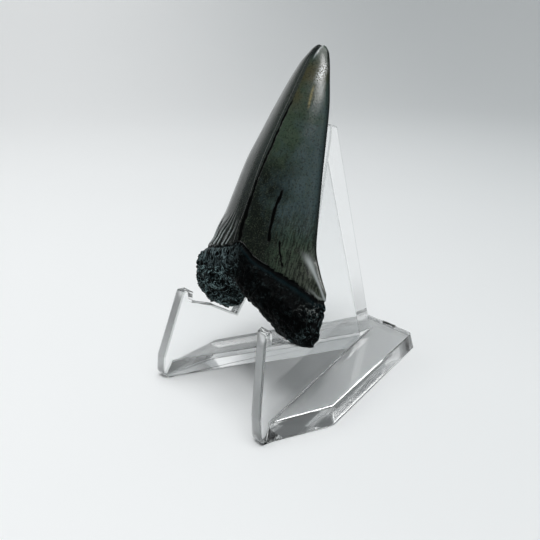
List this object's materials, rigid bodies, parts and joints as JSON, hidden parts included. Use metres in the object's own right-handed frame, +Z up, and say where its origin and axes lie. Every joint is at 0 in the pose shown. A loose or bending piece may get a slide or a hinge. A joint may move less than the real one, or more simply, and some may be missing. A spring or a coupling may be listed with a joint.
{
  "type": "fossil shark tooth on an easel",
  "caption": "Fossil great white shark tooth, dark crown and lumpy two-lobed root, leaning in a small clear display easel.",
  "frame": {"origin": "underside of the easel's base, on its plane of symmetry, below the foot of the spine", "axes": "+Z up, the easel opens towards -Y, +X towards the tooth's root lobe that reaches lower"},
  "size_m": [0.0324, 0.0419, 0.052],
  "materials": {
    "fossil": "glossy fossil enamel on the crown, matt porous root",
    "clear_plastic": "clear moulded plastic, polished"
  },
  "bodies": {
    "root": {"tooth": "fossil", "easel": "clear_plastic"}
  },
  "joints": []
}
